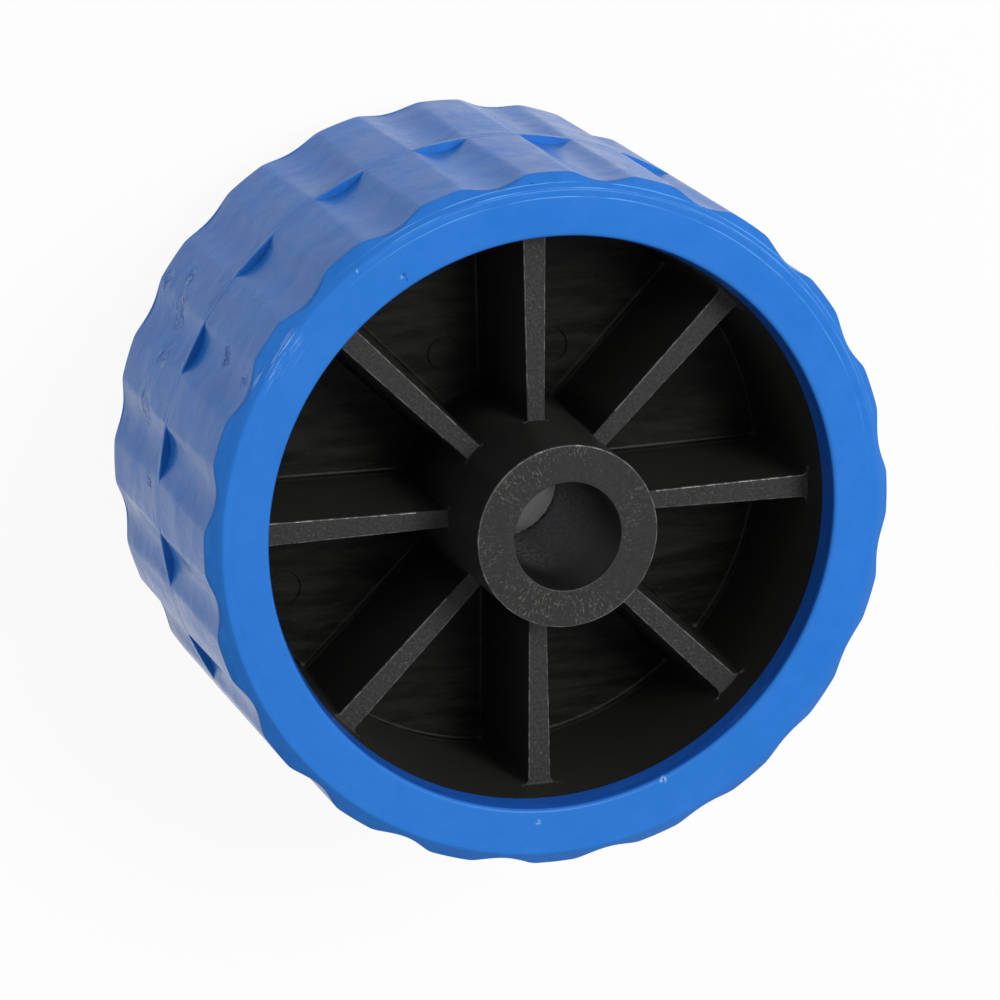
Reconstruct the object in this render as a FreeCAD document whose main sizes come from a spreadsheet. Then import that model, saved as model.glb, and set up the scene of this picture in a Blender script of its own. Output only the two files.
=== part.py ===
import FreeCAD, Part
import math
import os

import Sketcher
from FreeCAD import Placement, Rotation, Vector

# Ribbed boat trailer roller, in millimetres and degrees: a black moulded hub with a rubber tyre
# cast onto its rim. The axis is Z. The roller stands on one boss, and the origin is at the centre
# of that boss's end face. Both pieces are drawn about their middle plane and lifted as they are placed.

SIZES = {
    # Tyre. The rubber is measured from its tread to the rim, and the face from its tread to the opening.
    # The grooves of the two tracks stop at a thin wall in the middle, which is as high as the lugs.
    "tyre_diameter": 130.0,
    "tyre_width": 75.0,
    "rubber_thickness": 8.5,
    "face_width": 11.4,
    "lip_depth": 4.6,
    "shoulder": 2.7,
    "lug_count": 20,
    "middle_wall": 1.8,
    "groove_radius": 10.0,
    "groove_depth": 1.5,
    "crest_radius": 1.5,
    # Hub. Its bore is a little wider beyond the place where the two core pins met.
    # The rim's thickness is measured at its ends, where it is least.
    "hub_length": 89.2,
    "boss_diameter": 34.0,
    "near_bore_diameter": 20.2,
    "far_bore_diameter": 20.6,
    "near_bore_length": 38.6,
    "rim_thickness": 3.5,
    "web_thickness": 3.8,
    # Ribs. The width is what they would have at the axis, and each side spreads from there.
    "rib_count": 8,
    "rib_width": 2.9,
    "rib_spread": 0.8,
    "rib_setback": 11.6,
    "draft": 3.0,
    "corner_radius": 1.0,
    # Round marks that the ejector pins left on the web, so far out from the boss or in from the rim's mouth.
    "pin_mark_diameter": 6.8,
    "pin_mark_depth": 0.2,
    "mark_from_boss": 9.8,
    "mark_from_rim": 7.5,
}

# Places that several features share, as expressions on the sheet.
MIDDLE = "Sizes.hub_length / 2"
TYRE_FACE = "Sizes.tyre_width / 2"
RIM_END = "(Sizes.tyre_width / 2 - Sizes.lip_depth)"
RIB_TOP = "(Sizes.tyre_width / 2 - Sizes.rib_setback)"
WEB_FACE = "Sizes.web_thickness / 2"
TREAD_RADIUS = "Sizes.tyre_diameter / 2"
OPENING_RADIUS = "(Sizes.tyre_diameter / 2 - Sizes.face_width)"
RIM_RADIUS = "(Sizes.tyre_diameter / 2 - Sizes.rubber_thickness)"
MOUTH_RADIUS = "(%s - Sizes.rim_thickness)" % RIM_RADIUS
BOSS_RADIUS = "Sizes.boss_diameter / 2"
DRAFT_SLOPE = "tan(Sizes.draft * 1 deg)"
WALL_AT_RIBS = "(%s - (Sizes.rib_setback - Sizes.lip_depth) * %s)" % (MOUTH_RADIUS, DRAFT_SLOPE)
POCKET_DEPTH = "(%s - %s)" % (RIB_TOP, WEB_FACE)
POCKET_CORNER = "(Sizes.corner_radius + %s * %s)" % (POCKET_DEPTH, DRAFT_SLOPE)
HALF_SECTOR = "180 / Sizes.rib_count"
HALF_PITCH = "180 / Sizes.lug_count"
GROOVE_LENGTH = "(%s - Sizes.middle_wall / 2)" % TYRE_FACE

UPPER = 1
LOWER = -1
SIDES = {"upper": UPPER, "lower": LOWER}
AXIS = Vector(0, 0, 1)
NEAR = 0.001
# Where a sketch's lines and circles begin, before its dimensions move them into place.
START_REACH = 50
START_RADIUS = 5

doc = FreeCAD.newDocument("roller")


def make_sheet():
    """The driving dimensions, one to a row, each cell known by its name."""
    sheet = doc.addObject("Spreadsheet::Sheet", "Sizes")
    for row, (name, value) in enumerate(SIZES.items(), start=1):
        sheet.set("A%d" % row, name)
        sheet.set("B%d" % row, str(value))
        sheet.setAlias("B%d" % row, name)
    doc.recompute()
    return sheet


def at_height(side, expression):
    """The same height above or below the middle plane."""
    return "%d * (%s)" % (side, expression)


def origin_feature(body, role):
    return next(feature for feature in body.Origin.OriginFeatures if feature.Role == role)


def new_body(name):
    """An empty piece, lifted so that the roller's lower boss ends on the ground."""
    body = doc.addObject("PartDesign::Body", name)
    body.Label = name
    body.Placement = Placement(Vector(0, 0, 0), Rotation())
    body.setExpression("Placement.Base.z", MIDDLE)
    return body


def new_sketch(body, name, role, height="0", turn="0"):
    """A sketch on one of the piece's origin planes, moved along its normal and turned about it."""
    sketch = body.newObject("Sketcher::SketchObject", name)
    sketch.AttachmentSupport = [(origin_feature(body, role), "")]
    sketch.MapMode = "FlatFace"
    sketch.setExpression("AttachmentOffset.Base.z", height)
    sketch.setExpression("AttachmentOffset.Rotation.Angle", turn)
    return sketch


def bind(sketch, constraint, expression):
    """Adds one driving dimension to a sketch and ties it to the sheet."""
    index = sketch.addConstraint(constraint)
    sketch.setExpression("Constraints[%d]" % index, expression)


def draw_polygon(sketch, corners):
    """A closed outline of straight lines, each corner a pair of expressions."""
    count = len(corners)
    start = [Rotation(AXIS, 360 * i / count).multVec(Vector(START_REACH, 0, 0)) for i in range(count)]
    for i in range(count):
        sketch.addGeometry(Part.LineSegment(start[i], start[(i + 1) % count]))
    for i in range(count):
        sketch.addConstraint(Sketcher.Constraint("Coincident", i, 2, (i + 1) % count, 1))
    for i, (across, up) in enumerate(corners):
        bind(sketch, Sketcher.Constraint("DistanceX", -1, 1, i, 1, start[i].x), across)
        bind(sketch, Sketcher.Constraint("DistanceY", -1, 1, i, 1, start[i].y), up)


def draw_circle(sketch, radius, distance):
    """A circle whose centre is on the sketch's X axis. Both sizes are expressions."""
    sketch.addGeometry(Part.Circle(Vector(START_REACH, 0, 0), AXIS, START_RADIUS))
    sketch.addConstraint(Sketcher.Constraint("PointOnObject", 0, 3, -1))
    bind(sketch, Sketcher.Constraint("Radius", 0, START_RADIUS), radius)
    bind(sketch, Sketcher.Constraint("DistanceX", -1, 1, 0, 3, START_REACH), distance)


def arc_between(centre, start, end):
    """An arc about the centre, anticlockwise from the start to the end."""
    circle = Part.Circle(centre, AXIS, (start - centre).Length)
    return Part.ArcOfCircle(circle, circle.parameter(start), circle.parameter(end))


def mirrored(point):
    return Vector(point.x, -point.y, 0)


def draw_sector(sketch, sheet):
    """The mouth of the pocket between two ribs, with rounded corners, about the sketch's X axis."""
    slope_of_draft = math.tan(math.radians(sheet.draft))
    mouth = sheet.tyre_diameter / 2 - sheet.rubber_thickness - sheet.rim_thickness
    wall = mouth - (sheet.rib_setback - sheet.lip_depth) * slope_of_draft
    boss = sheet.boss_diameter / 2
    depth = sheet.tyre_width / 2 - sheet.rib_setback - sheet.web_thickness / 2
    corner = sheet.corner_radius + depth * slope_of_draft
    slope = 180 / sheet.rib_count - sheet.rib_spread
    half_rib = sheet.rib_width / 2
    along = Rotation(AXIS, slope).multVec(Vector(1, 0, 0))
    inward = Rotation(AXIS, slope).multVec(Vector(0, -1, 0))

    def corner_centre(reach):
        return inward * (half_rib + corner) + along * math.sqrt(reach ** 2 - (half_rib + corner) ** 2)

    outer = corner_centre(wall - corner)
    inner = corner_centre(boss + corner)
    outer_wall = outer * (wall / outer.Length)
    outer_rib = outer - inward * corner
    inner_rib = inner - inward * corner
    inner_boss = inner * (boss / inner.Length)
    centre = Vector(0, 0, 0)
    sketch.addGeometry([
        arc_between(centre, mirrored(outer_wall), outer_wall),
        arc_between(outer, outer_wall, outer_rib),
        Part.LineSegment(inner_rib, outer_rib),
        arc_between(inner, inner_rib, inner_boss),
        arc_between(centre, mirrored(inner_boss), inner_boss),
        arc_between(mirrored(inner), mirrored(inner_boss), mirrored(inner_rib)),
        Part.LineSegment(mirrored(inner_rib), mirrored(outer_rib)),
        arc_between(mirrored(outer), mirrored(outer_rib), mirrored(outer_wall)),
    ])
    wall_arc, upper_outer, upper_rib, upper_inner, boss_arc, lower_inner, lower_rib, lower_outer = range(8)
    joins = [
        (wall_arc, 2, upper_outer, 1), (upper_outer, 2, upper_rib, 2),
        (upper_rib, 1, upper_inner, 1), (upper_inner, 2, boss_arc, 2),
        (boss_arc, 1, lower_inner, 1), (lower_inner, 2, lower_rib, 1),
        (lower_rib, 2, lower_outer, 1), (lower_outer, 2, wall_arc, 1),
    ]
    for join in joins:
        sketch.addConstraint(Sketcher.Constraint("Tangent", *join))
    for long_arc in (wall_arc, boss_arc):
        sketch.addConstraint(Sketcher.Constraint("Coincident", long_arc, 3, -1, 1))
    for other in (upper_inner, lower_inner, lower_outer):
        sketch.addConstraint(Sketcher.Constraint("Equal", upper_outer, other))
    bind(sketch, Sketcher.Constraint("Radius", wall_arc, wall), WALL_AT_RIBS)
    bind(sketch, Sketcher.Constraint("Radius", boss_arc, boss), BOSS_RADIUS)
    bind(sketch, Sketcher.Constraint("Radius", upper_outer, corner), POCKET_CORNER)
    for rib_side, sign in ((upper_rib, 1), (lower_rib, -1)):
        rise = "%d deg * (%s - Sizes.rib_spread)" % (sign, HALF_SECTOR)
        bind(sketch, Sketcher.Constraint("Distance", -1, 1, rib_side, half_rib), "Sizes.rib_width / 2")
        bind(sketch, Sketcher.Constraint("Angle", rib_side, math.radians(sign * slope)), rise)


def settle(body, feature):
    """Makes the feature the piece's newest one and works the shape out."""
    body.Tip = feature
    doc.recompute()
    return feature


def revolve(body, sketch, name):
    feature = body.newObject("PartDesign::Revolution", name)
    feature.Profile = sketch
    feature.ReferenceAxis = (sketch, ["V_Axis"])
    feature.Angle = 360
    return settle(body, feature)


def cut(body, sketch, name, depth, side, taper="0"):
    """A pocket from the sketch towards the middle plane, which has to take something away."""
    before = body.Shape.Volume
    feature = body.newObject("PartDesign::Pocket", name)
    feature.Profile = sketch
    feature.Reversed = side == LOWER
    feature.setExpression("Length", depth)
    feature.setExpression("TaperAngle", taper)
    settle(body, feature)
    if body.Shape.Volume >= before:
        raise RuntimeError("%s takes nothing away" % name)
    return feature


def repeat(body, original, name, count):
    """Copies a feature round the roller's axis."""
    pattern = body.newObject("PartDesign::PolarPattern", name)
    pattern.Originals = [original]
    pattern.Axis = (origin_feature(body, "Z_Axis"), [""])
    pattern.Angle = 360
    pattern.setExpression("Occurrences", count)
    return settle(body, pattern)


def turn_over(body, line, name):
    """Adds the whole piece as it stands once more, half a turn round the line's own X axis."""
    pattern = body.newObject("PartDesign::PolarPattern", name)
    pattern.TransformMode = "Whole shape"
    pattern.Axis = (line, ["H_Axis"])
    pattern.Angle = 360
    pattern.Occurrences = 2
    return settle(body, pattern)


def fillet(body, name, radius, chosen):
    """Rounds each edge of the piece as it stands that the function given as chosen picks."""
    base = body.Tip
    edges = ["Edge%d" % i for i, edge in enumerate(base.Shape.Edges, start=1) if chosen(base.Shape, edge)]
    feature = body.newObject("PartDesign::Fillet", name)
    feature.Base = (base, edges)
    feature.setExpression("Radius", radius)
    return settle(body, feature)


def on_crest(sheet):
    """Picks the straight edges along the tread, where a lug's top meets a groove."""
    radius = sheet.tyre_diameter / 2

    def chosen(shape, edge):
        ends = [vertex.Point for vertex in edge.Vertexes]
        if len(ends) != 2 or edge.BoundBox.ZLength < sheet.shoulder:
            return False
        upright = edge.BoundBox.ZLength > edge.Length - NEAR
        reaches_tread = all(abs(math.hypot(end.x, end.y) - radius) < NEAR for end in ends)
        return upright and reaches_tread and len(shape.ancestorsOfType(edge, Part.Face)) == 2
    return chosen


def make_hub(sheet):
    """Boss, web, ribs and rim as one moulding."""
    hub = new_body("hub")
    section = new_sketch(hub, "hub_section", "XZ_Plane")
    draw_polygon(section, [
        ("Sizes.near_bore_diameter / 2", MIDDLE),
        ("Sizes.near_bore_diameter / 2", MIDDLE + " - Sizes.near_bore_length"),
        ("Sizes.far_bore_diameter / 2", MIDDLE + " - Sizes.near_bore_length"),
        ("Sizes.far_bore_diameter / 2", at_height(LOWER, MIDDLE)),
        (BOSS_RADIUS, at_height(LOWER, MIDDLE)),
        (BOSS_RADIUS, at_height(LOWER, RIB_TOP)),
        (WALL_AT_RIBS, at_height(LOWER, RIB_TOP)),
        (MOUTH_RADIUS, at_height(LOWER, RIM_END)),
        (RIM_RADIUS, at_height(LOWER, RIM_END)),
        (RIM_RADIUS, RIM_END),
        (MOUTH_RADIUS, RIM_END),
        (WALL_AT_RIBS, RIB_TOP),
        (BOSS_RADIUS, RIB_TOP),
        (BOSS_RADIUS, MIDDLE),
    ])
    revolve(hub, section, "hub_blank")
    for name, side in SIDES.items():
        mouth = new_sketch(hub, name + "_pocket_mouth", "XY_Plane", at_height(side, RIB_TOP), HALF_SECTOR)
        draw_sector(mouth, sheet)
        pocket = cut(hub, mouth, name + "_pocket", POCKET_DEPTH, side, "-Sizes.draft")
        repeat(hub, pocket, name + "_pockets", "Sizes.rib_count")
    return hub


def add_pin_marks(hub):
    """Shallow round marks on the upper web: how many half sectors round each lies, and how far out."""
    near_boss = BOSS_RADIUS + " + Sizes.mark_from_boss"
    near_rim = MOUTH_RADIUS + " - Sizes.mark_from_rim"
    marks = [(3, near_boss), (5, near_boss), (9, near_rim)]
    for half_sectors, distance in marks:
        name = "pin_mark_%d" % half_sectors
        turn = "%d * %s" % (half_sectors, HALF_SECTOR)
        outline = new_sketch(hub, name + "_outline", "XY_Plane", WEB_FACE, turn)
        draw_circle(outline, "Sizes.pin_mark_diameter / 2", distance)
        cut(hub, outline, name, "Sizes.pin_mark_depth", UPPER)


def make_tyre(sheet):
    """A rubber ring with a lip over each end of the rim, and a track of lugs on each half.

    One half is made first, with grooves that stop at its half of the middle wall. The other is the same
    half turned over about the middle line of a groove, so that each groove has another one opposite.
    """
    tyre = new_body("tyre")
    section = new_sketch(tyre, "track_section", "XZ_Plane")
    draw_polygon(section, [
        (RIM_RADIUS, "0"),
        (RIM_RADIUS, RIM_END),
        (MOUTH_RADIUS, RIM_END),
        (OPENING_RADIUS, TYRE_FACE),
        (TREAD_RADIUS + " - Sizes.shoulder", TYRE_FACE),
        (TREAD_RADIUS, TYRE_FACE + " - Sizes.shoulder"),
        (TREAD_RADIUS, "0"),
    ])
    revolve(tyre, section, "track_blank")
    outline = new_sketch(tyre, "groove_outline", "XY_Plane", TYRE_FACE, HALF_PITCH)
    draw_circle(outline, "Sizes.groove_radius", TREAD_RADIUS + " - Sizes.groove_depth + Sizes.groove_radius")
    groove = cut(tyre, outline, "groove", GROOVE_LENGTH, UPPER)
    repeat(tyre, groove, "grooves", "Sizes.lug_count")
    fillet(tyre, "crest_fillets", "Sizes.crest_radius", on_crest(sheet))
    turning_line = new_sketch(tyre, "turning_line", "XY_Plane", turn=HALF_PITCH)
    turn_over(tyre, turning_line, "second_track")
    return tyre


def check_shapes(bodies):
    """Stops before anything is written if a feature failed or a piece isn't one sound solid."""
    for item in doc.Objects:
        if "Invalid" in item.State or "Error" in item.State:
            raise RuntimeError("%s failed" % item.Name)
    for body in bodies:
        if body.Shape.isNull() or not body.Shape.isValid() or len(body.Shape.Solids) != 1:
            raise RuntimeError("%s is not one sound solid" % body.Label)


def main():
    sheet = make_sheet()
    hub = make_hub(sheet)
    add_pin_marks(hub)
    tyre = make_tyre(sheet)
    check_shapes([hub, tyre])
    os.makedirs("parts", exist_ok=True)
    for body in (hub, tyre):
        body.Shape.exportStep("parts/%s.step" % body.Label)


main()
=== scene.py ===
import math
from collections import namedtuple

import bmesh
import bpy
from mathutils import Matrix, Vector


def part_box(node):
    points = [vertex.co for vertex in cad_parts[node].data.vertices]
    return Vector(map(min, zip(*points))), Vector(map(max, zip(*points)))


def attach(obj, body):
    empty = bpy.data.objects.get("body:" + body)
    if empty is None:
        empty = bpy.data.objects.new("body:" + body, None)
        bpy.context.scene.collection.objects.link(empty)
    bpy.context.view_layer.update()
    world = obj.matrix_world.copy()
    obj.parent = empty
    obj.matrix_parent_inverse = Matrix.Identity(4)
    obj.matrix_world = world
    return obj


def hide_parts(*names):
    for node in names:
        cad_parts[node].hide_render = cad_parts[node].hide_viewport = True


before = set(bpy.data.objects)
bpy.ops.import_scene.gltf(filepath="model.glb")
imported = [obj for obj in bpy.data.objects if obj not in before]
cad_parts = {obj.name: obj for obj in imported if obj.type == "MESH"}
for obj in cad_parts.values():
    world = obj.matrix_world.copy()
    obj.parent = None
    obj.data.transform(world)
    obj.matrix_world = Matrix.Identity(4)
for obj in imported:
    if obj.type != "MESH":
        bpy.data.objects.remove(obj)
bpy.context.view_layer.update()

# Ribbed boat trailer roller: a black moulded hub with a blue rubber tyre cast onto its rim.
# Everything is in metres, in the frame of the CAD model: the axis is Z, and the roller stands on its boss.
# Heights in the shapes are measured from the middle plane, because the two halves are alike but for
# the bore and the pin marks.

MM = 0.001
HUB_LOW, HUB_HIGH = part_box("hub")
_, TYRE_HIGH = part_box("tyre")
MIDDLE = (HUB_LOW.z + HUB_HIGH.z) / 2
BOSS_END = HUB_HIGH.z - MIDDLE
TYRE_FACE = TYRE_HIGH.z - MIDDLE
UPPER = 1
LOWER = -1

# Points nearer than the first are welded, edges shorter than the second are dissolved, and edges sharper
# than the crease angle are shaded as edges.
WELD_DISTANCE = 1e-7
SHORTEST_EDGE = 1e-8
TYRE_CREASE = math.radians(35)
HUB_CREASE = math.radians(40)

# Tyre

TREAD = 65.0 * MM
OPENING = 53.6 * MM
LIP_DEPTH = 4.6 * MM
LIP_ROUND = 0.9 * MM
LIP_ROUND_STEPS = 6
LIP_WALL_STEPS = 3
LUG_COUNT = 20
PITCH = math.tau / LUG_COUNT
GROOVE_RADIUS = 10.0 * MM
GROOVE_DEPTH = 1.5 * MM
GROOVE_CENTRE = TREAD - GROOVE_DEPTH + GROOVE_RADIUS
CREST_AT_WALL = 2.6 * MM
CREST_AT_FACE = 8.5 * MM
# How far a crest is lowered, times four, for each unit of its rounding.
CREST_BLEND = 0.183

# The shoulder is a cone, from a height on the tread to a radius on the side face.
SHOULDER = 2.7 * MM
SHOULDER_START = TYRE_FACE - SHOULDER
SHOULDER_EDGE = TREAD - SHOULDER
SHOULDER_BLEND = 0.25 * MM
FLASH_LINE = 62.9 * MM
FACE_LINE = 60.9 * MM

# The wall between the tracks: half its thickness, its bevel, and the line that it leaves across the lugs.
WALL_SIDE = 0.9 * MM
WALL_BEVEL = 0.22 * MM
BEVEL_DROP = 0.13 * MM
BEVEL_STEPS = 3
LINE_DEPTH = 0.035 * MM
# The first point beside the wall: how far from it, and at least how deep, in drops of the bevel.
WALL_GAP = 0.01 * MM
LEAST_DROPS = 1.1

# Points of the tyre's section in millimetres: heights on the tread, then heights round the shoulder's start.
TREAD_HEIGHTS = (1.1, 1.4, 2, 3, 5, 7.5, 10, 13, 16, 20, 24, 28, 31, 33)
TURN_OFFSETS = (-0.6, -0.3, -0.15, -0.07, 0, 0.07, 0.15, 0.3, 0.6)
# Each pair is how far out from its line a point is, and how far above the side face.
FLASH_RIDGE = ((0.42, -1.02), (0.3, -0.89), (0.12, -0.685), (-0.12, -0.45), (-0.3, -0.3), (-0.42, -0.18))
FACE_START = ((0.05, -0.09), (-0.1, -0.02), (-0.3, 0))
FACE_DIP = ((0.3, 0), (0.1, -0.02), (0, -0.03), (-0.1, -0.02), (-0.3, 0))
FACE_RADII = (59.5, 58, 56.5, 55.2)
# Degrees from the middle of a groove or a lug, closer together towards the crest between them.
CREST_ANGLES = (0, 0.9, 1.8, 2.6, 3.2, 3.6, 3.85, 4.1, 4.3, 4.5)

# Hub

RIM = 56.5 * MM
MOUTH = 53.0 * MM
RIM_END = TYRE_FACE - LIP_DEPTH
BOSS = 17.0 * MM
WEB_FACE = 1.9 * MM
RIB_COUNT = 8
HALF_SECTOR = math.pi / RIB_COUNT
RIB_TOP = TYRE_FACE - 11.6 * MM
DRAFT = math.tan(math.radians(3.0))
WALL_AT_RIBS = MOUTH - (RIM_END - RIB_TOP) * DRAFT
WALL_CORNER = 1.0 * MM
BOSS_CORNER = 0.35 * MM
ROOT_FILLET = 1.1 * MM
ROOT_STEPS = 6
SIDE_STEPS = 5
EDGE_ROUND = 0.25 * MM
EDGE_STEPS = 4
# Half a rib's thickness where its sides would pass the axis, and the angle at which each side spreads.
HALF_RIB = 1.45 * MM
RIB_SPREAD = math.radians(0.8)

# The near bore ends this far below the upper boss's end, at a ring of flash, and the far bore is wider.
BORE_STEP = 38.6 * MM
NEAR_BORE = 10.1 * MM
FAR_BORE = 10.3 * MM
BORE_FLASH = 0.2 * MM
FLASH_HEIGHT = 0.3 * MM
FLASH_TAPER = 3 * FLASH_HEIGHT
BORE_ROUND = 0.15 * MM
BORE_ROUND_STEPS = 3

# The fillets where a rib's top meets the wall and the boss, and the band along the top's edge.
# The shares say how much of the room at that place they take at most.
WALL_FILLET = 0.35 * MM
BOSS_FILLET = 0.04 * MM
FILLET_SHARE = 0.35
FILLET_STEPS = 3
RIB_END_STEPS = 8
TOP_BAND = 0.3 * MM
BAND_SHARE = 0.25

# The next points of the wall and the boss above the ribs' tops, and of the bore under its edge.
WALL_RISE = 1.5 * MM
BOSS_RISE = 1.2 * MM
BORE_DROP = 1.0 * MM

# Ejector pin marks on the upper web: for each sector that has one, how far it is from the axis.
PIN_MARKS = {1: 26.8 * MM, 2: 26.8 * MM, 4: 45.5 * MM}
PIN_MARK = 3.4 * MM
PIN_STEPS = 40
# The groove round a mark: shares of its radius, and the depth there in millimetres.
PIN_GROOVE = ((1, 0), (0.98, 0.4), (0.91, 0.4), (0.88, 0.04))


def polar(radius, angle):
    return Vector((radius * math.cos(angle), radius * math.sin(angle)))


def spread(start, end, count):
    """So many equal steps from the start to the end, both ends with them."""
    return [start + (end - start) * i / count for i in range(count + 1)]


def soft_min(a, b, blend):
    """The smaller of two lengths, rounded off where they are nearly the same."""
    near = max(blend - abs(a - b), 0) / blend
    return min(a, b) - near * near * blend / 4


def arc(centre, radius, start, end, count):
    return [centre + polar(radius, angle) for angle in spread(start, end, count)]


def finish_mesh(bm, name, crease):
    """Welds the pieces of a mesh, turns its faces outwards and makes an object of it."""
    bmesh.ops.remove_doubles(bm, verts=bm.verts, dist=WELD_DISTANCE)
    bmesh.ops.dissolve_degenerate(bm, edges=bm.edges, dist=SHORTEST_EDGE)
    bmesh.ops.recalc_face_normals(bm, faces=bm.faces)
    mesh = bpy.data.meshes.new(name)
    bm.to_mesh(mesh)
    bm.free()
    mesh.shade_smooth()
    mesh.set_sharp_from_angle(angle=crease)
    piece = bpy.data.objects.new(name, mesh)
    bpy.context.scene.collection.objects.link(piece)
    weighted = piece.modifiers.new("even_shading", "WEIGHTED_NORMAL")
    weighted.keep_sharp = True
    return piece


# The tyre's mesh


def groove_floor(turn):
    """How far from the axis a groove's surface is, at an angle from the groove's middle."""
    across = GROOVE_CENTRE * math.sin(turn)
    if abs(across) >= GROOVE_RADIUS:
        return math.inf
    return GROOVE_CENTRE * math.cos(turn) - math.sqrt(GROOVE_RADIUS ** 2 - across ** 2)


def lug_radius(turn, height):
    """The tread's radius at an angle from a groove's middle. The crests are rounder towards the face."""
    rounding = CREST_AT_WALL + (CREST_AT_FACE - CREST_AT_WALL) * height / TYRE_FACE
    floor = groove_floor(turn)
    if floor == math.inf:
        return TREAD
    return soft_min(TREAD, floor, rounding * CREST_BLEND)


def wall_column(foot):
    """From the middle plane over the wall's top and bevelled edge, down to the groove or lug beside it."""
    column = [(TREAD, 0)]
    deepest = min(max(LINE_DEPTH, (TREAD - foot) / 2), BEVEL_DROP)
    for angle in spread(math.pi / 2, 0, BEVEL_STEPS):
        drop = deepest * (1 - math.sin(angle))
        column.append((TREAD - drop, WALL_SIDE - WALL_BEVEL * math.sin(angle)))
    column.append((min(foot, TREAD - LEAST_DROPS * deepest), WALL_SIDE + WALL_GAP))
    return column


def tread_column(turn):
    """From the middle plane out over the wall, the tread and the shoulder, as radii and heights."""
    turn_height = SHOULDER_START + TREAD - lug_radius(turn, SHOULDER_START)
    heights = [height * MM for height in TREAD_HEIGHTS]
    heights += [turn_height + offset * MM for offset in TURN_OFFSETS]
    column = wall_column(lug_radius(turn, WALL_SIDE))
    for height in heights:
        cone = TREAD - (height - SHOULDER_START)
        column.append((soft_min(lug_radius(turn, height), cone, SHOULDER_BLEND), height))
    return column


def face_points(line, offsets):
    """Points given in millimetres from a line on the side face."""
    return [(line + out * MM, TYRE_FACE + up * MM) for out, up in offsets]


def face_column():
    """From the shoulder across the side face, down the lip and back under it to the rim."""
    column = face_points(FLASH_LINE, FLASH_RIDGE)
    column += face_points(SHOULDER_EDGE, FACE_START)
    column += face_points(FACE_LINE, FACE_DIP)
    column += [(radius * MM, TYRE_FACE) for radius in FACE_RADII]
    centre = Vector((OPENING + LIP_ROUND, TYRE_FACE - LIP_ROUND))
    lean = math.atan((OPENING - MOUTH) / (centre.y - RIM_END))
    rounding = arc(centre, LIP_ROUND, math.pi / 2, math.pi - lean, LIP_ROUND_STEPS)
    foot = Vector((MOUTH, RIM_END))
    wall = [rounding[-1].lerp(foot, share) for share in spread(0, 1, LIP_WALL_STEPS)[1:]]
    column += [tuple(point) for point in rounding + wall]
    column.append((RIM, RIM_END))
    return column


def turns_round():
    """Angles round the tyre, close together at the crests."""
    cell = PITCH / 2
    offsets = [math.radians(angle) for angle in CREST_ANGLES]
    turns = []
    for i in range(2 * LUG_COUNT):
        turns += [i * cell - offset for offset in reversed(offsets[1:-1])]
        turns += [i * cell + offset for offset in offsets]
    return turns


def from_groove(angle):
    """The angle from the nearest groove's middle, always positive. The first lug is on the X axis."""
    return abs(angle % PITCH - PITCH / 2)


def make_tyre():
    """One closed mesh. Each column goes once round the tyre's section, and both tracks are alike."""
    bm = bmesh.new()
    face = face_column()
    columns = []
    for angle in turns_round():
        half = tread_column(from_groove(angle)) + face
        section = [(radius, MIDDLE + height) for radius, height in half]
        section += [(radius, MIDDLE - height) for radius, height in half[:0:-1]]
        place = [(*polar(radius, angle), height) for radius, height in section]
        columns.append([bm.verts.new(point) for point in place])
    for i, column in enumerate(columns):
        following = columns[(i + 1) % len(columns)]
        for j in range(len(column)):
            k = (j + 1) % len(column)
            bm.faces.new((column[j], following[j], following[k], column[k]))
    return finish_mesh(bm, "tyre_rubber", TYRE_CREASE)


# The hub's mesh


class RibEnd:
    """Where a rib's top meets the wall or the boss, with a small fillet wherever there is room for it.

    The circle is that part of the pocket's outline which lies on the wall or the boss. The rib's side of
    it is -1 where the rib is inside the circle, at the wall, and 1 where it's outside, at the boss.
    """

    def __init__(self, circle, radius, corner_centre, corner, rib_side, largest):
        self.circle = circle
        self.radius = radius
        self.corner_centre = corner_centre
        self.corner = corner
        self.rib_side = rib_side
        self.largest = largest
        self.start = math.atan2(corner_centre.y, corner_centre.x)

    def room(self, angle):
        """How far the pocket's rounded corner is from the wall or the boss, at an angle."""
        reach = self.corner_centre.length
        turn = angle - self.start
        inside = self.corner ** 2 - (reach * math.sin(turn)) ** 2
        if inside <= 0:
            return math.inf
        corner_radius = reach * math.cos(turn) - self.rib_side * math.sqrt(inside)
        return self.rib_side * (corner_radius - self.radius)

    def fillet(self, angle):
        """The fillet's radius at an angle."""
        return min(self.largest, FILLET_SHARE * max(self.room(angle), 0))

    def rows(self):
        """Rows over the fillet, from the wall or the boss to the rib's top, each up to the rib's middle."""
        rows = [[] for _ in range(FILLET_STEPS + 1)]
        for angle in spread(self.start, HALF_SECTOR, RIB_END_STEPS):
            size = self.fillet(angle)
            for row, bend in zip(rows, spread(0, math.pi / 2, FILLET_STEPS)):
                out = self.radius + self.rib_side * size * (1 - math.cos(bend))
                row.append((*polar(out, angle), RIB_TOP + size * (1 - math.sin(bend))))
        return rows

    def angles(self):
        """Angles in one sector, from rib to rib, that match the points of the pocket and the ribs' ends."""
        angles = [math.atan2(point.y, point.x) for point in self.circle]
        angles += spread(self.start, HALF_SECTOR, RIB_END_STEPS)[1:]
        return [-angle for angle in angles[:0:-1]] + angles

    def foot(self, angle):
        """The lowest point of the wall or the boss at an angle, above the pocket or the rib's fillet."""
        size = self.fillet(abs(angle)) if abs(angle) > self.start else 0
        return (*polar(self.radius, angle), RIB_TOP + size)


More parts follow.
